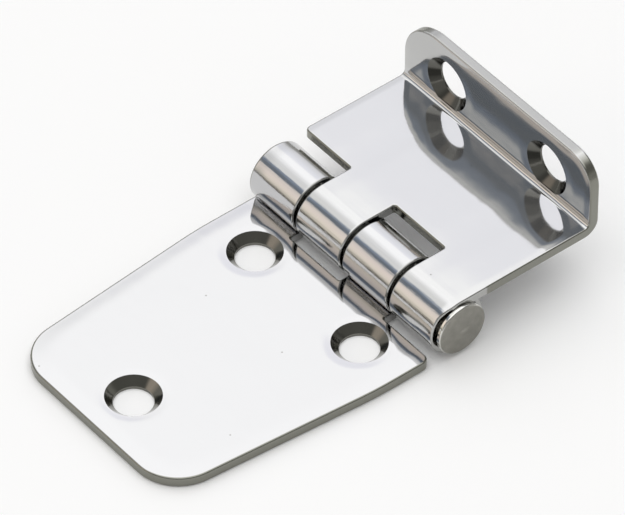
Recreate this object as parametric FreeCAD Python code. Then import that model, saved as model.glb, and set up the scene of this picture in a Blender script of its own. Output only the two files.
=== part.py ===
import FreeCAD, Part

import math
import os

from FreeCAD import Vector

# Hatch hinge in polished stainless sheet: a flat tapered leaf, a leaf that is bent up into a
# short flange, and one headed pin. Each leaf is a single stamped sheet, and its knuckles are
# tabs of that sheet curled round the pin. The flat leaf leaves the barrel at its foot and the
# flanged leaf at its top, so one lies a step above the other when the hinge is open.
# All sizes are in millimetres. X runs across the pin, towards the flange. Y runs along the
# pin, away from its head. Z is up. The origin is on the flat leaf's seating face, midway
# between its two screws beside the barrel.

# Sheet, pin and barrel.
sheet = 1.6
leaf_width = 40.0
pin_d = 6.0
pin_clearance = 0.04
knuckle_gap = 0.6
curl_end_gap = 0.12
notch_corner_r = 0.3
edge_round = 0.3

# Flat leaf, with its lengths counted from the pin's axis.
flat_length = 48.3
flat_straight = 14.2
flat_end_width = 34.2
flat_end_corner_r = 7.0
flat_taper_blend_r = 60.0
flat_side_corner_r = 1.3
flat_notch_clearance = 0.1

# Flanged leaf, with its lengths counted from the pin's axis and the leaf's upper face.
flange_face_x = 23.1
flange_height = 11.3
flange_bend_r = 0.8
flange_far_corner_r = 7.0
flange_near_corner_r = 4.5
flanged_side_corner_r = 0.8
flanged_notch_clearance = 0.3

# Relief of the flanged leaf's last knuckle beside the pin's head. It starts past the barrel's
# top, deepens over a ramp and runs on to the curl's end.
relief_depth = 0.5
relief_past_top = 16.0
relief_ramp_turn = 30.0
relief_round = 2.5

# Screw holes, each a plain hole under a conical sink.
screw_hole_d = 5.7
flat_sink_d = 8.0
flange_sink_d = 8.3
sink_angle = 90.0
flat_screw_x = 10.5
flat_screw_from_side = 8.6
end_screw_from_end = 7.6
flange_screw_from_side = 9.3
flange_screw_height = 4.5

# Pin head at the near end, and the riveted end that holds the pin in the far knuckle.
head_d = 8.1
head_side = 0.32
head_round = 0.3
head_crown = 0.1
head_gap = 0.08
rivet_depth = 0.6
rivet_spread = 0.55

# Sizes that follow from those above.
half_width = leaf_width / 2
pin_r = pin_d / 2
bore_r = pin_r + pin_clearance
barrel_r = bore_r + sheet
knuckle_length = (leaf_width - 3 * knuckle_gap) / 4
knuckle_pitch = knuckle_length + knuckle_gap
flat_notch_x = -(barrel_r + notch_corner_r + flat_notch_clearance)
flanged_notch_x = barrel_r + notch_corner_r + flanged_notch_clearance
tool_margin = 1.0
past_barrel = barrel_r + tool_margin
prism_height = 4 * (barrel_r + flange_height)
origin = Vector(0, 0, 0)
along_pin = Vector(0, 1, 0)


def knuckle_span(number):
    """Near and far ends of a knuckle along Y, counted 1 to 4 from the far end."""
    far = half_width - (number - 1) * knuckle_pitch
    return far - knuckle_length, far


def rounded_outline(corners):
    """Closed wire through (a, b, radius) corners in the XY plane, with the corners rounded."""
    points = [Vector(a, b, 0) for a, b, radius in corners]
    edges = []
    starts = []
    ends = []
    for i, (a, b, radius) in enumerate(corners):
        corner = points[i]
        back = (points[i - 1] - corner).normalize()
        ahead = (points[(i + 1) % len(points)] - corner).normalize()
        if radius == 0:
            starts.append(corner)
            ends.append(corner)
            continue
        half_angle = back.getAngle(ahead) / 2
        reach = radius / math.tan(half_angle)
        middle = (back + ahead).normalize()
        centre = corner + middle * (radius / math.sin(half_angle))
        start = corner + back * reach
        end = corner + ahead * reach
        starts.append(start)
        ends.append(end)
        edges.append(Part.Arc(start, centre - middle * radius, end).toShape())
    for i in range(len(points)):
        end = ends[i]
        start = starts[(i + 1) % len(points)]
        if end.distanceToPoint(start) > 1e-6:
            edges.append(Part.LineSegment(end, start).toShape())
    return Part.Wire(Part.__sortEdges__(edges))


def upright_prism(outline):
    """Tall prism over an outline drawn in plan."""
    face = Part.Face(outline)
    face.translate(Vector(0, 0, -prism_height / 2))
    return face.extrude(Vector(0, 0, prism_height))


def turned_upright(outline):
    """Move an outline drawn in the XY plane to the YZ plane, with its first coordinate along Y."""
    outline.rotate(origin, Vector(1, 1, 1), 120)
    return outline


def at_angle(radius, degrees):
    """Point in the XZ plane at an angle from +X towards +Z about the pin's axis."""
    turn = math.radians(degrees)
    return Vector(radius * math.cos(turn), 0, radius * math.sin(turn))


def arc_about_pin(radius, first, last):
    """Arc in the XZ plane about the pin's axis."""
    middle = (first + last) / 2
    return Part.Arc(at_angle(radius, first), at_angle(radius, middle), at_angle(radius, last)).toShape()


def across_sheet(edges):
    """Sheet of full leaf width whose side view is the closed chain of edges."""
    profile = Part.Face(Part.Wire(Part.__sortEdges__(edges)))
    profile.translate(Vector(0, -half_width, 0))
    return profile.extrude(Vector(0, leaf_width, 0))


def line(a, b):
    return Part.LineSegment(a, b).toShape()


# The curl leaves the plate under the pin and ends above it on the plate's side, so that the
# outer corner of its end stays clear of the plate.
curl_end_angle = 180 + math.degrees(math.asin((bore_r - curl_end_gap) / barrel_r))


def flat_side_view():
    """Side view of the flat leaf: a plate at the barrel's foot and the curl round the pin."""
    low = -barrel_r
    high = -bore_r
    return [
        line(Vector(-flat_length, 0, low), Vector(0, 0, low)),
        arc_about_pin(barrel_r, -90, curl_end_angle),
        line(at_angle(barrel_r, curl_end_angle), at_angle(bore_r, curl_end_angle)),
        arc_about_pin(bore_r, curl_end_angle, -90),
        line(Vector(0, 0, high), Vector(-flat_length, 0, high)),
        line(Vector(-flat_length, 0, high), Vector(-flat_length, 0, low)),
    ]


def flanged_side_view():
    """Side view of the flanged leaf: the curl, a plate at the barrel's top and the upturned flange."""
    low = bore_r
    high = barrel_r
    top = high + flange_height
    bend_x = flange_face_x - flange_bend_r
    bend_z = high + flange_bend_r
    back_x = flange_face_x + sheet
    slant = math.sqrt(0.5)
    inner = flange_bend_r
    outer = flange_bend_r + sheet
    last = curl_end_angle - 180
    return [
        line(Vector(0, 0, high), Vector(bend_x, 0, high)),
        Part.Arc(
            Vector(bend_x, 0, high),
            Vector(bend_x + inner * slant, 0, bend_z - inner * slant),
            Vector(flange_face_x, 0, bend_z),
        ).toShape(),
        line(Vector(flange_face_x, 0, bend_z), Vector(flange_face_x, 0, top)),
        line(Vector(flange_face_x, 0, top), Vector(back_x, 0, top)),
        line(Vector(back_x, 0, top), Vector(back_x, 0, bend_z)),
        Part.Arc(
            Vector(back_x, 0, bend_z),
            Vector(bend_x + outer * slant, 0, bend_z - outer * slant),
            Vector(bend_x, 0, low),
        ).toShape(),
        line(Vector(bend_x, 0, low), Vector(0, 0, low)),
        arc_about_pin(bore_r, 90, 360 + last),
        line(at_angle(bore_r, last), at_angle(barrel_r, last)),
        arc_about_pin(barrel_r, 360 + last, 90),
    ]


def flat_blank_outline():
    """Plan of the flat leaf's blank: tapered plate with tabs for knuckles 1 and 3."""
    near_1, far_1 = knuckle_span(1)
    near_3, far_3 = knuckle_span(3)
    half_end = flat_end_width / 2
    return rounded_outline([
        (-flat_length, -half_end, flat_end_corner_r),
        (-flat_straight, -half_width, flat_taper_blend_r),
        (flat_notch_x, -half_width, flat_side_corner_r),
        (flat_notch_x, near_3, notch_corner_r),
        (past_barrel, near_3, 0),
        (past_barrel, far_3, 0),
        (flat_notch_x, far_3, notch_corner_r),
        (flat_notch_x, near_1, notch_corner_r),
        (past_barrel, near_1, 0),
        (past_barrel, far_1, 0),
        (-flat_straight, half_width, flat_taper_blend_r),
        (-flat_length, half_end, flat_end_corner_r),
    ])


def flanged_blank_outline():
    """Plan of the flanged leaf's blank: plate with tabs for knuckles 2 and 4."""
    near_2, far_2 = knuckle_span(2)
    near_4, far_4 = knuckle_span(4)
    back_x = flange_face_x + sheet
    return rounded_outline([
        (back_x, half_width, 0),
        (flanged_notch_x, half_width, flanged_side_corner_r),
        (flanged_notch_x, far_2, notch_corner_r),
        (-past_barrel, far_2, 0),
        (-past_barrel, near_2, 0),
        (flanged_notch_x, near_2, notch_corner_r),
        (flanged_notch_x, far_4, notch_corner_r),
        (-past_barrel, far_4, 0),
        (-past_barrel, near_4, 0),
        (back_x, near_4, 0),
    ])


def flange_front_outline():
    """Front view of the flanged leaf, in the YZ plane, with the flange's round top corners."""
    top = barrel_r + flange_height
    return turned_upright(rounded_outline([
        (-half_width, -past_barrel, 0),
        (half_width, -past_barrel, 0),
        (half_width, top, flange_far_corner_r),
        (-half_width, top, flange_near_corner_r),
    ]))


def head_relief():
    """Cutter that sets the last knuckle back from the pin's head, by a ramp past the barrel's top."""
    near = -half_width
    clear_y = near - tool_margin
    full_y = near + relief_depth
    ramp_run = barrel_r * math.sin(math.radians(relief_ramp_turn))
    side = turned_upright(rounded_outline([
        (clear_y, ramp_run, 0),
        (near, ramp_run, 0),
        (near, 0, relief_round),
        (full_y, -ramp_run, relief_round),
        (full_y, -past_barrel, 0),
        (clear_y, -past_barrel, 0),
    ]))
    side.translate(Vector(-past_barrel, 0, 0))
    ramp = Part.Face(side).extrude(Vector(past_barrel, 0, 0))
    corner = Vector(0, clear_y, -past_barrel)
    depth = full_y - clear_y
    next_quarter = Part.makeBox(past_barrel, depth, past_barrel, corner)
    first_half = ramp.fuse(next_quarter)
    first_half.rotate(origin, along_pin, 90 - relief_past_top)
    up_to_plate = past_barrel + bore_r - curl_end_gap / 2
    last_part = Part.makeBox(past_barrel, depth, up_to_plate, corner)
    return first_half.fuse(last_part)


def trim_edges(solid):
    """Edges between a face of the sheet and its cut side, which are the ones that polishing rounds."""
    chosen = []
    for edge in solid.Edges:
        faces = solid.ancestorsOfType(edge, Part.Face)
        if len(faces) != 2:
            continue
        middle = edge.valueAt(edge.getParameterByLength(edge.Length / 2))
        one, other = [face.normalAt(*face.Surface.parameter(middle)) for face in faces]
        smooth = abs(one.dot(other)) > 0.5
        through_sheet = edge.Length < sheet * 1.01 and isinstance(edge.Curve, Part.Line)
        if not smooth and not through_sheet:
            chosen.append(edge)
    return chosen


def screw_tool(sink_d):
    """Cutter for a sunk screw hole: sink face at the origin, screw head towards +Z."""
    hole_r = screw_hole_d / 2
    sink_r = sink_d / 2
    sink_depth = (sink_r - hole_r) / math.tan(math.radians(sink_angle / 2))
    hole = Part.makeCylinder(hole_r, 4 * sheet, Vector(0, 0, -2 * sheet))
    cone = Part.makeCone(hole_r, sink_r, sink_depth, Vector(0, 0, -sink_depth))
    return hole.fuse(cone)


def make_flat_leaf():
    leaf = across_sheet(flat_side_view()).common(upright_prism(flat_blank_outline()))
    leaf = leaf.makeFillet(edge_round, trim_edges(leaf))
    screw_y = half_width - flat_screw_from_side
    end_screw_x = flat_length - end_screw_from_end
    for x, y in ((flat_screw_x, screw_y), (flat_screw_x, -screw_y), (end_screw_x, 0)):
        tool = screw_tool(flat_sink_d)
        tool.translate(Vector(-x, y, -bore_r))
        leaf = leaf.cut(tool)
    seat_bottom = Vector(0, half_width - rivet_depth, 0)
    rivet_seat = Part.makeCone(bore_r, bore_r + rivet_spread, rivet_depth, seat_bottom, along_pin)
    return leaf.cut(rivet_seat)


def make_flanged_leaf():
    front_face = Part.Face(flange_front_outline())
    front_face.translate(Vector(-past_barrel, 0, 0))
    front_prism = front_face.extrude(Vector(past_barrel + flange_face_x + 2 * sheet, 0, 0))
    plan_prism = upright_prism(flanged_blank_outline())
    leaf = across_sheet(flanged_side_view()).common(plan_prism).common(front_prism)
    leaf = leaf.cut(head_relief()).removeSplitter()
    leaf = leaf.makeFillet(edge_round, trim_edges(leaf))
    screw_y = half_width - flange_screw_from_side
    for y in (screw_y, -screw_y):
        tool = screw_tool(flange_sink_d)
        tool.rotate(origin, along_pin, -90)
        tool.translate(Vector(flange_face_x, y, barrel_r + flange_screw_height))
        leaf = leaf.cut(tool)
    return leaf


def make_pin():
    """Turned pin: crowned head, shank and a riveted far end, drawn as a half section and revolved."""
    head_r = head_d / 2
    seat_y = -half_width - head_gap
    face_y = seat_y - head_side - head_round
    flare_y = half_width - rivet_depth
    flare_r = pin_r + rivet_spread
    slant = math.sqrt(0.5)
    face_edge = Vector(head_r - head_round, face_y, 0)
    rim = Vector(head_r, face_y + head_round, 0)
    rounding = Vector(head_r - head_round * (1 - slant), face_y + head_round * (1 - slant), 0)
    crown_r = (face_edge.x ** 2 + head_crown ** 2) / (2 * head_crown)
    half_angle = math.asin(face_edge.x / crown_r) / 2
    crown_middle = Vector(
        crown_r * math.sin(half_angle), face_y - head_crown + crown_r * (1 - math.cos(half_angle)), 0
    )
    apex = Vector(0, face_y - head_crown, 0)
    half_section = [
        Part.Arc(apex, crown_middle, face_edge).toShape(),
        Part.Arc(face_edge, rounding, rim).toShape(),
        line(rim, Vector(head_r, seat_y, 0)),
        line(Vector(head_r, seat_y, 0), Vector(pin_r, seat_y, 0)),
        line(Vector(pin_r, seat_y, 0), Vector(pin_r, flare_y, 0)),
        line(Vector(pin_r, flare_y, 0), Vector(flare_r, half_width, 0)),
        line(Vector(flare_r, half_width, 0), Vector(0, half_width, 0)),
        line(Vector(0, half_width, 0), apex),
    ]
    section = Part.Face(Part.Wire(Part.__sortEdges__(half_section)))
    return section.revolve(origin, along_pin, 360)


os.makedirs("parts", exist_ok=True)
pin_axis = Vector(flat_screw_x, 0, barrel_r)
pieces = {
    "tapered_leaf": make_flat_leaf(),
    "flanged_leaf": make_flanged_leaf(),
    "hinge_pin": make_pin(),
}
for name, shape in pieces.items():
    shape.translate(pin_axis)
    solid = shape.Solids[0]
    print(name, len(shape.Solids), solid.isValid(), round(solid.Volume, 2), solid.BoundBox)
    shape.exportStep("parts/" + name + ".step")
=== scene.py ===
import bpy
from mathutils import Matrix, Vector

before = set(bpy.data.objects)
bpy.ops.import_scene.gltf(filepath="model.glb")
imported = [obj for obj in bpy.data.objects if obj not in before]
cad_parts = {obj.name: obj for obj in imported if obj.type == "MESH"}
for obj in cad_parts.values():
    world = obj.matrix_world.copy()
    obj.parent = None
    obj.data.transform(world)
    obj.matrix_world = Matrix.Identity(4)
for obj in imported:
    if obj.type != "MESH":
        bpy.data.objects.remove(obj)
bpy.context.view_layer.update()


# Tapered leaf. One stamping of 1.6 mm stainless sheet, buffed to a mirror on a soft wheel. Two
# tabs of it are curled round the pin as knuckles 1 and 3, and three screw holes are sunk from
# above. Its sheared sides and drilled sinks are only tumbled, so they are duller, and their
# darker greys are painted shade.
def linear(hex_colour):
    """sRGB hex such as "#c8c8c4" as a linear RGBA colour."""
    parts = [int(hex_colour[i:i + 2], 16) / 255 for i in (1, 3, 5)]
    return [p / 12.92 if p <= 0.04045 else ((p + 0.055) / 1.055) ** 2.4 for p in parts] + [1.0]


def add_node(tree, kind, links=(), **settings):
    """Node of a kind, with its properties and in_NAME inputs set and its links made.

    A link is an input and its source, which is a socket, or a node whose first output is meant.
    """
    node = tree.nodes.new(kind)
    for name, value in settings.items():
        if name.startswith("in_"):
            key = name[3:]
            node.inputs[int(key) if key.isdigit() else key.replace("_", " ")].default_value = value
        else:
            setattr(node, name, value)
    for where, source in links:
        tree.links.new(getattr(source, "outputs", [source])[0], node.inputs[where])
    return node


def new_steel(name):
    """Empty material, its tree, its place on the part in mm and its normal's absolute parts."""
    material = bpy.data.materials.new(name)
    material.use_nodes = True
    tree = material.node_tree
    tree.nodes.clear()
    place = add_node(tree, "ShaderNodeTexCoord")
    mm = add_node(
        tree, "ShaderNodeVectorMath", [(0, place.outputs["Object"])], operation="SCALE", in_Scale=1000.0
    )
    facing = add_node(
        tree, "ShaderNodeVectorMath", [(0, place.outputs["Normal"])], operation="ABSOLUTE"
    )
    facing_parts = add_node(tree, "ShaderNodeSeparateXYZ", [(0, facing)])
    return material, tree, mm, facing_parts


def screw_sinks(tree, mm, facing, along, screws, sink_r, rim_reach, rim_depth):
    """Mask of the sinks' sloped walls, and how far in mm the face falls towards their rims.

    Both go by the distance to the nearest screw's axis, which runs along X or Z. The buffing
    wheel rounds the face over from rim_reach outside a rim, down to rim_depth just inside it.
    """
    rim_blend = 0.02
    fall_ends = -0.6
    # The normal's part along the screw's axis is at most the first on a wall, and at least the
    # second on the face round it.
    wall_most, face_least = 0.9, 0.97
    across = (0.0, 1.0, 1.0) if along == "X" else (1.0, 1.0, 0.0)
    plan = add_node(tree, "ShaderNodeVectorMath", [(0, mm)], operation="MULTIPLY", in_1=across)
    to_screw = None
    for centre in screws:
        away = add_node(tree, "ShaderNodeVectorMath", [(0, plan)], operation="DISTANCE", in_1=centre)
        if to_screw is None:
            to_screw = away.outputs["Value"]
        else:
            to_screw = add_node(
                tree, "ShaderNodeMath", [(0, to_screw), (1, away.outputs["Value"])], operation="MINIMUM"
            )
    near = add_node(
        tree, "ShaderNodeMapRange", [("Value", to_screw)],
        in_From_Min=sink_r - rim_blend, in_From_Max=sink_r + rim_blend, in_To_Min=1.0, in_To_Max=0.0
    )
    sloped = add_node(
        tree, "ShaderNodeMapRange", [("Value", facing.outputs[along])],
        in_From_Min=wall_most, in_From_Max=face_least, in_To_Min=1.0, in_To_Max=0.0
    )
    sunk_and_shaded = add_node(tree, "ShaderNodeMath", [(0, near), (1, sloped)], operation="MULTIPLY")
    to_rim = add_node(tree, "ShaderNodeMath", [(0, to_screw)], operation="SUBTRACT", in_1=sink_r)
    rim_fall = add_node(
        tree, "ShaderNodeMapRange", [("Value", to_rim)], interpolation_type="SMOOTHERSTEP",
        in_From_Min=fall_ends, in_From_Max=rim_reach, in_To_Min=-rim_depth, in_To_Max=0.0
    )
    return sunk_and_shaded, rim_fall


def finish_sheet(tree, mm, facing, raw_and_shaded, sunk_and_shaded, roll, line_depth, colours, haze=0.0):
    """Buffed sheet steel: a near mirror whose slow waves and fine lines bend what it reflects.

    The raw and sunk masks are 1 on sheared sides and in screw sinks, where the steel is duller
    and its darker colours are painted shade. roll is how far in mm the buffed face lies off a true
    one, and line_depth is how deep its lines are. colours are those of the face, the painted shade
    of the sheared sides, which the dust specks also take, and the painted shade of the sinks. haze
    is the share of level faces that doesn't mirror.
    """
    # Dust specks 0.2 mm across and about 18 mm apart, as the photograph shows, on level faces.
    specks_per_mm = 0.055
    speck_core, speck_rim, speck_cover = 0.004, 0.009, 0.75
    # Polishing lines along the pin. Real ones are 0.02 mm apart, which is too fine to show, so
    # they are drawn about 0.6 mm apart and twenty times as long.
    lines_per_mm = 1.6
    line_stretch = (1.0, 0.05, 1.0)
    line_low, line_high = 0.3, 0.7
    # Waves that the rolling mill and the wheel leave, about 7 mm wide and 0.03 mm high.
    waves_per_mm = 0.14
    wave_height = 0.03
    # Roughness between and in the lines, on tumbled sides and in drilled sinks.
    smooth, dull = 0.035, 0.09
    tumbled_rough = 0.2
    drilled_rough = 0.13
    # The normal's upright part where a face starts to count as level, and where it is level.
    nearly_level, level_enough = 0.97, 0.99
    # Every height is in mm, so the bump's distance is one millimetre.
    one_mm = 0.001

    face_colour, side_shade_and_speck_colour, sink_shade_colour = [linear(colour) for colour in colours]
    level = add_node(
        tree, "ShaderNodeMapRange", [("Value", facing.outputs["Z"])],
        in_From_Min=nearly_level, in_From_Max=level_enough
    )
    dust = add_node(
        tree, "ShaderNodeTexVoronoi", [("Vector", mm)], voronoi_dimensions="2D", in_Scale=specks_per_mm
    )
    speck = add_node(
        tree, "ShaderNodeMapRange", [("Value", dust.outputs["Distance"])],
        in_From_Min=speck_core, in_From_Max=speck_rim, in_To_Min=speck_cover, in_To_Max=0.0
    )
    level_speck = add_node(tree, "ShaderNodeMath", [(0, speck), (1, level)], operation="MULTIPLY")
    dusty = add_node(
        tree, "ShaderNodeMix", [("Factor", level_speck)], data_type="RGBA",
        in_6=face_colour, in_7=side_shade_and_speck_colour
    )
    # The sheared sides and the sinks are painted darker, as painted shade.
    shaded_sheared = add_node(
        tree, "ShaderNodeMix", [("Factor", raw_and_shaded), (6, dusty.outputs[2])], data_type="RGBA",
        in_7=side_shade_and_speck_colour
    )
    colour = add_node(
        tree, "ShaderNodeMix", [("Factor", sunk_and_shaded), (6, shaded_sheared.outputs[2])], data_type="RGBA",
        in_7=sink_shade_colour
    )

    along_pin = add_node(
        tree, "ShaderNodeVectorMath", [(0, mm)], operation="MULTIPLY", in_1=line_stretch
    )
    lines = add_node(
        tree, "ShaderNodeTexNoise", [("Vector", along_pin)],
        in_Scale=lines_per_mm, in_Detail=5.0, in_Roughness=0.65
    )
    buffed = add_node(
        tree, "ShaderNodeMapRange", [("Value", lines.outputs["Fac"])],
        in_From_Min=line_low, in_From_Max=line_high, in_To_Min=smooth, in_To_Max=dull
    )
    tumbled = add_node(
        tree, "ShaderNodeMix", [("Factor", raw_and_shaded), (2, buffed)], data_type="FLOAT", in_3=tumbled_rough
    )
    roughness = add_node(
        tree, "ShaderNodeMix", [("Factor", sunk_and_shaded), (2, tumbled)], data_type="FLOAT", in_3=drilled_rough
    )

    waves = add_node(
        tree, "ShaderNodeTexNoise", [("Vector", mm)], in_Scale=waves_per_mm, in_Detail=2.0
    )
    wavy = add_node(
        tree, "ShaderNodeMath", [(0, waves.outputs["Fac"]), (2, roll)],
        operation="MULTIPLY_ADD", in_1=wave_height
    )
    surface = add_node(
        tree, "ShaderNodeMath", [(0, lines.outputs["Fac"]), (1, line_depth), (2, wavy)],
        operation="MULTIPLY_ADD"
    )
    bump = add_node(
        tree, "ShaderNodeBump", [("Height", surface)], in_Strength=1.0, in_Distance=one_mm
    )
    steel = add_node(
        tree, "ShaderNodeBsdfPrincipled",
        [("Base Color", colour.outputs[2]), ("Roughness", roughness), ("Normal", bump)], in_Metallic=1.0
    )
    if haze:
        hazy = add_node(
            tree, "ShaderNodeMapRange", [("Value", level)], in_To_Min=1.0, in_To_Max=1.0 - haze
        )
        tree.links.new(hazy.outputs[0], steel.inputs["Metallic"])
    add_node(tree, "ShaderNodeOutputMaterial", [("Surface", steel)])


half_width = 20.0
outer_end_x = -37.8
outer_half_width = 17.1
taper_ends_x = -3.7
plate_ends_x = 5.6
knuckle_ends_y = 19.4
leaf_screws = [(0.0, 11.4, 0.0), (0.0, -11.4, 0.0), (-30.2, 0.0, 0.0)]
leaf_sink_r = 4.0
rim_reach, rim_depth = 1.6, 0.05
edge_reach, edge_overrun, edge_depth = 3.2, 1.0, 0.14
corner_blend = 9.0
sheared_from, sheared_full = 0.01, 0.16
gap_raw_and_shaded = 0.4
step_blend = 0.1
curl_starts_x, curl_full_x = 5.0, 6.0
flat_lines, curled_lines = 0.0008, 0.018
# The sheared sides' dark grey is painted shade.
shaded_side_grey = "#86867e"

tapered_steel, tree, mm, facing = new_steel("buffed_stainless_tapered_leaf")
where = add_node(tree, "ShaderNodeSeparateXYZ", [(0, mm)])
off_middle = add_node(tree, "ShaderNodeMath", [(0, where.outputs["Y"])], operation="ABSOLUTE")

# The plate's sides are raw all round: duller, and darker with painted shade. On the knuckles
# only the end faces are, and the faces in the narrow gaps between knuckles less so, because
# they mirror each other.
in_plate = add_node(
    tree, "ShaderNodeMath", [(0, where.outputs["X"])], operation="LESS_THAN", in_1=plate_ends_x
)
off_level = add_node(
    tree, "ShaderNodeMath", [(1, facing.outputs["Z"])], operation="SUBTRACT", in_0=1.0
)
plate_side = add_node(tree, "ShaderNodeMath", [(0, off_level), (1, in_plate)], operation="MULTIPLY")
sideways = add_node(
    tree, "ShaderNodeMath", [(0, plate_side), (1, facing.outputs["Y"])], operation="MAXIMUM"
)
shaded_sheared = add_node(
    tree, "ShaderNodeMapRange", [("Value", sideways)],
    interpolation_type="SMOOTHSTEP", in_From_Min=sheared_from, in_From_Max=sheared_full
)
out_of_gap = add_node(
    tree, "ShaderNodeMapRange", [("Value", where.outputs["X"])],
    in_From_Min=plate_ends_x, in_From_Max=plate_ends_x + 2 * step_blend,
    in_To_Min=1.0, in_To_Max=gap_raw_and_shaded
)
at_end = add_node(
    tree, "ShaderNodeMapRange", [("Value", off_middle)],
    in_From_Min=knuckle_ends_y - step_blend, in_From_Max=knuckle_ends_y + step_blend
)
open_side = add_node(tree, "ShaderNodeMath", [(0, out_of_gap), (1, at_end)], operation="MAXIMUM")
raw_and_shaded = add_node(tree, "ShaderNodeMath", [(0, shaded_sheared), (1, open_side)], operation="MULTIPLY")
sunk_and_shaded, rim_fall = screw_sinks(
    tree, mm, facing, "Z", leaf_screws, leaf_sink_r, rim_reach, rim_depth
)

# The wheel also rounds the plate over along its outline. The face starts to fall edge_reach
# inside the outline, and would be edge_depth lower edge_overrun outside it.
width_here = add_node(
    tree, "ShaderNodeMapRange", [("Value", where.outputs["X"])],
    in_From_Min=outer_end_x, in_From_Max=taper_ends_x, in_To_Min=outer_half_width, in_To_Max=half_width
)
to_side = add_node(tree, "ShaderNodeMath", [(0, width_here), (1, off_middle)], operation="SUBTRACT")
to_end = add_node(
    tree, "ShaderNodeMath", [(0, where.outputs["X"])], operation="ADD", in_1=-outer_end_x
)
to_edge = add_node(
    tree, "ShaderNodeMath", [(0, to_side), (1, to_end)], operation="SMOOTH_MIN", in_2=corner_blend
)
edge_fall = add_node(
    tree, "ShaderNodeMapRange", [("Value", to_edge)], interpolation_type="SMOOTHERSTEP",
    in_From_Min=-edge_overrun, in_From_Max=edge_reach, in_To_Min=-edge_depth, in_To_Max=0.0
)
roll = add_node(tree, "ShaderNodeMath", [(0, edge_fall), (1, rim_fall)], operation="ADD")

# The rolling tool scores the curls along the pin, so their lines are deeper than the plate's.
line_depth = add_node(
    tree, "ShaderNodeMapRange", [("Value", where.outputs["X"])],
    in_From_Min=curl_starts_x, in_From_Max=curl_full_x, in_To_Min=flat_lines, in_To_Max=curled_lines
)
# The sinks' dark grey, #777670, is painted shade.
finish_sheet(tree, mm, facing, raw_and_shaded, sunk_and_shaded, roll, line_depth, ("#c2c2c3", shaded_side_grey, "#777670"))
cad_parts["tapered_leaf"].data.materials[0] = tapered_steel


# Flanged leaf. The same sheet, bent up into a flange at its far side, with two screw holes sunk
# into the flange. Its tabs are knuckles 2 and 4 of the barrel. The wheel can't reach into the
# bend, so the flange is less flat and duller than the plates. Its face and top edge are also
# painted a little darker, and its sinks darker than the other leaf's, as painted shade.
notch_x, notch_reach = 16.2, 0.8
knuckle_tabs_end_x = 15.3
flange_starts_x = 33.5
plate_top_z = 9.5
flange_middle_z = 14.1
flange_top_z = 20.58
near_corner_r, far_corner_r = 4.5, 7.0
flange_screws = [(0.0, 10.7, 13.78), (0.0, -10.7, 13.78)]
flange_sink_r = 4.15
rim_reach, rim_depth = 2.0, 0.06
edge_reach, edge_overrun, edge_depth = 1.6, 0.3, 0.08
lean_slope, crown_rate, middle_smooth = 0.062, 0.011, 2.0
dip_starts_x, dip_slope, dip_smooth = 15.0, 0.026, 5.0
sheared_from, sheared_full = 0.12, 0.6
top_edge_from, top_edge_full = 0.25, 0.05
bend_from, bend_full = 0.3, 2.0
middle_blend = 1.0
top_edge_raw_and_shaded, flange_raw_and_shaded = 0.5, 0.2
curl_full_x, plate_starts_x = 9.0, 11.5
plate_lines = 0.0012

flanged_steel, tree, mm, facing = new_steel("buffed_stainless_flanged_leaf")
where = add_node(tree, "ShaderNodeSeparateXYZ", [(0, mm)])
off_middle = add_node(tree, "ShaderNodeMath", [(0, where.outputs["Y"])], operation="ABSOLUTE")

# Raw are the notches' inner sides, which face X beside the barrel, and the sides that face Y;
# they are duller and darker with painted shade. The flange's top edge counts as half raw, and
# its whole face as a fifth, so they are duller and carry some of that painted shade too.
by_barrel = add_node(
    tree, "ShaderNodeMath", [(0, where.outputs["X"])], operation="COMPARE",
    in_1=notch_x, in_2=notch_reach
)
notch_side = add_node(
    tree, "ShaderNodeMath", [(0, facing.outputs["X"]), (1, by_barrel)], operation="MULTIPLY"
)
sideways = add_node(
    tree, "ShaderNodeMath", [(0, notch_side), (1, facing.outputs["Y"])], operation="MAXIMUM"
)
shaded_sheared = add_node(
    tree, "ShaderNodeMapRange", [("Value", sideways)],
    interpolation_type="SMOOTHSTEP", in_From_Min=sheared_from, in_From_Max=sheared_full
)
out_of_gap = add_node(
    tree, "ShaderNodeMapRange", [("Value", where.outputs["X"])],
    in_From_Min=knuckle_tabs_end_x - step_blend, in_From_Max=knuckle_tabs_end_x + step_blend,
    in_To_Min=gap_raw_and_shaded, in_To_Max=1.0
)
raw_shaded_side = add_node(tree, "ShaderNodeMath", [(0, shaded_sheared), (1, out_of_gap)], operation="MULTIPLY")
top_edge = add_node(
    tree, "ShaderNodeMapRange", [("Value", where.outputs["Z"])],
    in_From_Min=flange_top_z - top_edge_from, in_From_Max=flange_top_z - top_edge_full,
    in_To_Max=top_edge_raw_and_shaded
)
raw_shaded_edge = add_node(tree, "ShaderNodeMath", [(0, raw_shaded_side), (1, top_edge)], operation="MAXIMUM")
past_bend = add_node(
    tree, "ShaderNodeMapRange", [("Value", where.outputs["Z"])],
    in_From_Min=plate_top_z + bend_from, in_From_Max=plate_top_z + bend_full,
    in_To_Max=flange_raw_and_shaded
)
raw_and_shaded = add_node(tree, "ShaderNodeMath", [(0, raw_shaded_edge), (1, past_bend)], operation="MAXIMUM")
sink_wall, rim_fall = screw_sinks(
    tree, mm, facing, "X", flange_screws, flange_sink_r, rim_reach, rim_depth
)
in_flange = add_node(
    tree, "ShaderNodeMath", [(0, where.outputs["X"])], operation="GREATER_THAN", in_1=flange_starts_x
)
sunk_and_shaded = add_node(tree, "ShaderNodeMath", [(0, sink_wall), (1, in_flange)], operation="MULTIPLY")

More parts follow.
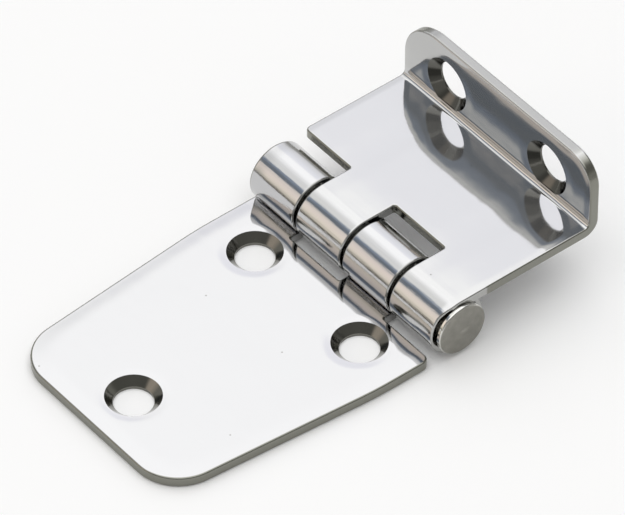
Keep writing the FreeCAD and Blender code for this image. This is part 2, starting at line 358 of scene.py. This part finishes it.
# The flange is rounded over along its outline, a rectangle with two unequal rounded corners.
# A point's distance to the outline is the corner's radius less its distance from the corner's
# centre, or from the straight lines through that centre where it isn't past them both.
to_top = add_node(
    tree, "ShaderNodeMath", [(1, where.outputs["Z"])], operation="SUBTRACT", in_0=flange_top_z
)
to_side = add_node(tree, "ShaderNodeMath", [(1, off_middle)], operation="SUBTRACT", in_0=half_width)
corner_r = add_node(
    tree, "ShaderNodeMapRange", [("Value", where.outputs["Y"])],
    in_From_Min=-middle_blend, in_From_Max=middle_blend,
    in_To_Min=near_corner_r, in_To_Max=far_corner_r
)
past_side = add_node(tree, "ShaderNodeMath", [(0, corner_r), (1, to_side)], operation="SUBTRACT")
past_top = add_node(tree, "ShaderNodeMath", [(0, corner_r), (1, to_top)], operation="SUBTRACT")
past_centre = add_node(tree, "ShaderNodeCombineXYZ", [("X", past_side), ("Z", past_top)])
outside = add_node(
    tree, "ShaderNodeVectorMath", [(0, past_centre)], operation="MAXIMUM", in_1=(0.0, 0.0, 0.0)
)
reach = add_node(tree, "ShaderNodeVectorMath", [(0, outside)], operation="LENGTH")
to_edge = add_node(
    tree, "ShaderNodeMath", [(0, corner_r), (1, reach.outputs["Value"])], operation="SUBTRACT"
)
edge_fall = add_node(
    tree, "ShaderNodeMapRange", [("Value", to_edge)], interpolation_type="SMOOTHERSTEP",
    in_From_Min=-edge_overrun, in_From_Max=edge_reach, in_To_Min=-edge_depth, in_To_Max=0.0
)
rounded = add_node(tree, "ShaderNodeMath", [(0, edge_fall), (1, rim_fall)], operation="ADD")

# From its middle the flange's face falls away towards the bend, by 3.5 degrees, and towards its
# top in a growing curve. The plate's face dips by 1.5 degrees past the knuckles. The leaf in the
# photograph droops, and the dip makes the flange's mirror image in it about as long as there.
up_plate = add_node(
    tree, "ShaderNodeMath", [(0, where.outputs["Z"])], operation="MAXIMUM", in_1=plate_top_z
)
up_flange = add_node(
    tree, "ShaderNodeMath", [(0, up_plate)], operation="SUBTRACT", in_1=flange_middle_z
)
lean = add_node(
    tree, "ShaderNodeMath", [(0, up_flange)], operation="SMOOTH_MIN", in_1=0.0, in_2=middle_smooth
)
leaning = add_node(
    tree, "ShaderNodeMath", [(0, lean), (2, rounded)], operation="MULTIPLY_ADD", in_1=lean_slope
)
upper = add_node(
    tree, "ShaderNodeMath", [(0, up_flange)], operation="SMOOTH_MAX", in_1=0.0, in_2=middle_smooth
)
crown = add_node(tree, "ShaderNodeMath", [(0, upper)], operation="POWER", in_1=2.0)
crowned = add_node(
    tree, "ShaderNodeMath", [(0, crown), (2, leaning)], operation="MULTIPLY_ADD", in_1=-crown_rate
)
past_knuckles = add_node(
    tree, "ShaderNodeMath", [(0, where.outputs["X"])], operation="SUBTRACT", in_1=dip_starts_x
)
dip = add_node(
    tree, "ShaderNodeMath", [(0, past_knuckles)], operation="SMOOTH_MAX", in_1=0.0, in_2=dip_smooth
)
roll = add_node(
    tree, "ShaderNodeMath", [(0, dip), (2, crowned)], operation="MULTIPLY_ADD", in_1=-dip_slope
)
line_depth = add_node(
    tree, "ShaderNodeMapRange", [("Value", where.outputs["X"])],
    in_From_Min=curl_full_x, in_From_Max=plate_starts_x, in_To_Min=curled_lines, in_To_Max=plate_lines
)
# The flange's sinks, #62615c, are painted a darker shade than the other leaf's.
finish_sheet(
    tree, mm, facing, raw_and_shaded, sunk_and_shaded, roll, line_depth, ("#c4c4c4", shaded_side_grey, "#62615c"), haze=0.12
)
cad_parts["flanged_leaf"].data.materials[0] = flanged_steel


# Hinge pin. Stainless rod with a cold formed, crowned head at the near end and a riveted far
# end. It is turned and tumbled, not buffed. Its end faces are painted a dark grey as painted
# shade, mottled at random. Real tumbling leaves grain of 0.1 mm, and it is drawn as blotches of
# about 2 mm with finer grain in them, to show.
blotches_per_mm = 0.5
grain_height_m = 0.00003
end_from, end_full = 0.6, 0.98
side_rough, end_rough = 0.1, 0.22
# The end faces' two greys are painted shade, mixed in random blotches.
side_colour, end_shade_dark, end_shade_pale = "#d2d1cc", "#6c6b65", "#a09e96"

pin_steel, tree, mm, facing = new_steel("tumbled_stainless_pin")
mottle = add_node(
    tree, "ShaderNodeTexNoise", [("Vector", mm)],
    in_Scale=blotches_per_mm, in_Detail=5.0, in_Roughness=0.65
)
shaded_end_face = add_node(
    tree, "ShaderNodeMapRange", [("Value", facing.outputs["Y"])],
    interpolation_type="SMOOTHSTEP", in_From_Min=end_from, in_From_Max=end_full
)
mottled_end_shade = add_node(
    tree, "ShaderNodeMix", [("Factor", mottle.outputs["Fac"])], data_type="RGBA",
    in_6=linear(end_shade_dark), in_7=linear(end_shade_pale)
)
pin_colour = add_node(
    tree, "ShaderNodeMix", [("Factor", shaded_end_face), (7, mottled_end_shade.outputs[2])], data_type="RGBA",
    in_6=linear(side_colour)
)
pin_rough = add_node(
    tree, "ShaderNodeMapRange", [("Value", shaded_end_face)], in_To_Min=side_rough, in_To_Max=end_rough
)
grain = add_node(
    tree, "ShaderNodeBump", [("Height", mottle.outputs["Fac"])],
    in_Strength=1.0, in_Distance=grain_height_m
)
steel = add_node(
    tree, "ShaderNodeBsdfPrincipled",
    [("Base Color", pin_colour.outputs[2]), ("Roughness", pin_rough), ("Normal", grain)], in_Metallic=1.0
)
add_node(tree, "ShaderNodeOutputMaterial", [("Surface", steel)])
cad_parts["hinge_pin"].data.materials[0] = pin_steel


# Floor. A plain white studio sheet, a hair under the hinge's seating face so that the two never
# share one plane. A faint glow, which only the camera and the mirrors see, brings it to white.
floor_reach = 6.0
floor_z = -0.00002
floor_glow = 0.04
paper_colour = "#f6f6f6"
floor_mesh = bpy.data.meshes.new("floor")
floor_mesh.from_pydata(
    [(-floor_reach, -floor_reach, floor_z), (floor_reach, -floor_reach, floor_z),
     (floor_reach, floor_reach, floor_z), (-floor_reach, floor_reach, floor_z)],
    [], [(0, 1, 2, 3)]
)
floor = bpy.data.objects.new("floor", floor_mesh)
bpy.context.scene.collection.objects.link(floor)
floor_paper = bpy.data.materials.new("white_paper")
floor_paper.use_nodes = True
tree = floor_paper.node_tree
tree.nodes.clear()
rays = add_node(tree, "ShaderNodeLightPath")
seen = add_node(
    tree, "ShaderNodeMath",
    [(0, rays.outputs["Is Camera Ray"]), (1, rays.outputs["Is Glossy Ray"])], operation="MAXIMUM"
)
seen_all = add_node(
    tree, "ShaderNodeMath", [(0, seen), (1, rays.outputs["Is Transmission Ray"])], operation="MAXIMUM"
)
paper = add_node(tree, "ShaderNodeBsdfDiffuse", in_Color=linear(paper_colour))
glow_level = add_node(
    tree, "ShaderNodeMath", [(0, seen_all)], operation="MULTIPLY", in_1=floor_glow
)
glow = add_node(tree, "ShaderNodeEmission", [("Strength", glow_level)])
both = add_node(tree, "ShaderNodeAddShader", [(0, paper), (1, glow)])
add_node(tree, "ShaderNodeOutputMaterial", [("Surface", both)])
floor_mesh.materials.append(floor_paper)


# Studio light. Long soft panels that run beside the pin on the far side, with the dark gap that
# gives the barrel and the flange their dark bands. Angles are degrees up from +X towards -X.
# The camera's side is a dim room, lighter at eye level, with a white panel overhead.
panel_stops = [
    (0, "#84847f"), (10, "#8a8a86"), (16, "#9a9a98"), (24, "#d6d6d8"), (46, "#e4e5ea"),
    (54.5, "#ececf1"), (57, "#fbfbfb"), (64, "#ffffff"), (78, "#ffffff"), (92, "#e6e6e6"),
    (101, "#d6d6d5"), (114, "#d9d9d7"), (117.5, "#808997"), (121.5, "#7c8593"), (123.5, "#717984"),
    (126, "#6a6f75"), (133.5, "#616a75"), (137, "#cdc6bf"), (149, "#ded2c9"), (161, "#dcd2c5"),
    (172, "#b5afa2"), (175, "#5f5b55"),
]
half_turn = 3.14159265
panel_level = 1.7
room_colour, wall_colour, overhead_colour = "#70706e", "#989896", "#ffffff"
# Where the parts of the studio begin and end, as the Y or Z part of the direction one looks in.
panels_from_y, panels_full_y = 0.05, 0.3
far_wall_from_y, far_wall_full_y = 0.555, 0.8
low_z, high_z = 0.25, 0.45
low_dimming, high_dimming = 0.95, 0.4
wall_full_z, wall_ends_z = 0.36, 0.5
overhead_from_z, overhead_full_z = 0.74, 0.84
overhead_full_y, overhead_ends_y = 0.35, 0.54

world = bpy.data.worlds.new("studio")
bpy.context.scene.world = world
world.use_nodes = True
tree = world.node_tree
tree.nodes.clear()
sight = add_node(tree, "ShaderNodeTexCoord")
aim = add_node(tree, "ShaderNodeSeparateXYZ", [(0, sight.outputs["Generated"])])
angle = add_node(
    tree, "ShaderNodeMath", [(0, aim.outputs["Z"]), (1, aim.outputs["X"])], operation="ARCTAN2"
)
turn = add_node(
    tree, "ShaderNodeMapRange", [("Value", angle)], in_From_Min=0.0, in_From_Max=half_turn
)
panels = add_node(tree, "ShaderNodeValToRGB", [("Fac", turn)])
ramp = panels.color_ramp
while len(ramp.elements) < len(panel_stops):
    ramp.elements.new(0.5)
for element, (degrees, hex_colour) in zip(ramp.elements, panel_stops):
    element.position = degrees / 180
    element.color = linear(hex_colour)

# The panels fade out towards the camera's side, and towards the far wall, most of all low down.
behind = add_node(
    tree, "ShaderNodeMapRange", [("Value", aim.outputs["Y"])],
    interpolation_type="SMOOTHSTEP", in_From_Min=panels_from_y, in_From_Max=panels_full_y
)
far_off = add_node(
    tree, "ShaderNodeMapRange", [("Value", aim.outputs["Y"])],
    interpolation_type="SMOOTHSTEP", in_From_Min=far_wall_from_y, in_From_Max=far_wall_full_y
)
low_down = add_node(
    tree, "ShaderNodeMapRange", [("Value", aim.outputs["Z"])],
    interpolation_type="SMOOTHSTEP", in_From_Min=low_z, in_From_Max=high_z,
    in_To_Min=low_dimming, in_To_Max=high_dimming
)
dimmed = add_node(tree, "ShaderNodeMath", [(0, far_off), (1, low_down)], operation="MULTIPLY")
panel_edge = add_node(tree, "ShaderNodeMath", [(1, dimmed)], operation="SUBTRACT", in_0=1.0)
behind_lit = add_node(tree, "ShaderNodeMath", [(0, behind), (1, panel_edge)], operation="MULTIPLY")
eye_level = add_node(
    tree, "ShaderNodeMapRange", [("Value", aim.outputs["Z"])],
    interpolation_type="SMOOTHSTEP", in_From_Min=wall_full_z, in_From_Max=wall_ends_z,
    in_To_Min=1.0, in_To_Max=0.0
)
room = add_node(
    tree, "ShaderNodeMix", [("Factor", eye_level)], data_type="RGBA",
    in_6=linear(room_colour), in_7=linear(wall_colour)
)
round_about = add_node(
    tree, "ShaderNodeMix", [("Factor", behind_lit), (6, room.outputs[2]), (7, panels)], data_type="RGBA"
)
high_up = add_node(
    tree, "ShaderNodeMapRange", [("Value", aim.outputs["Z"])],
    interpolation_type="SMOOTHSTEP", in_From_Min=overhead_from_z, in_From_Max=overhead_full_z
)
this_side = add_node(
    tree, "ShaderNodeMapRange", [("Value", aim.outputs["Y"])],
    interpolation_type="SMOOTHSTEP", in_From_Min=overhead_full_y, in_From_Max=overhead_ends_y,
    in_To_Min=1.0, in_To_Max=0.0
)
overhead = add_node(tree, "ShaderNodeMath", [(0, high_up), (1, this_side)], operation="MULTIPLY")
studio = add_node(
    tree, "ShaderNodeMix", [("Factor", overhead), (6, round_about.outputs[2])], data_type="RGBA",
    in_7=linear(overhead_colour)
)
sky = add_node(tree, "ShaderNodeBackground", [("Color", studio.outputs[2])], in_Strength=panel_level)
add_node(tree, "ShaderNodeOutputWorld", [("Surface", sky)])

bpy.context.scene.view_settings.view_transform = "Standard"


# Camera. It stands where the photograph's did, 39 degrees round from the pin's head towards the
# flat leaf and 44.5 degrees up, about a metre away with a long lens.
camera_right = Vector((0.7771, -0.6293, 0.0)).normalized()
camera_back = Vector((-0.4486, -0.5540, 0.7013)).normalized()
camera_up = camera_back.cross(camera_right).normalized()
aim_point = Vector((0.00409, 0.00387, 0.00359))
camera_distance = 1.0752
lens = bpy.data.cameras.new("camera")
lens.sensor_width = 36.0
lens.lens = 450.8
lens.clip_start = 0.01
lens.clip_end = 50.0
camera = bpy.data.objects.new("camera", lens)
bpy.context.scene.collection.objects.link(camera)
turned = Matrix((camera_right, camera_up, camera_back)).transposed().to_4x4()
camera.matrix_world = Matrix.Translation(aim_point + camera_back * camera_distance) @ turned
bpy.context.scene.camera = camera

bpy.context.view_layer.update()
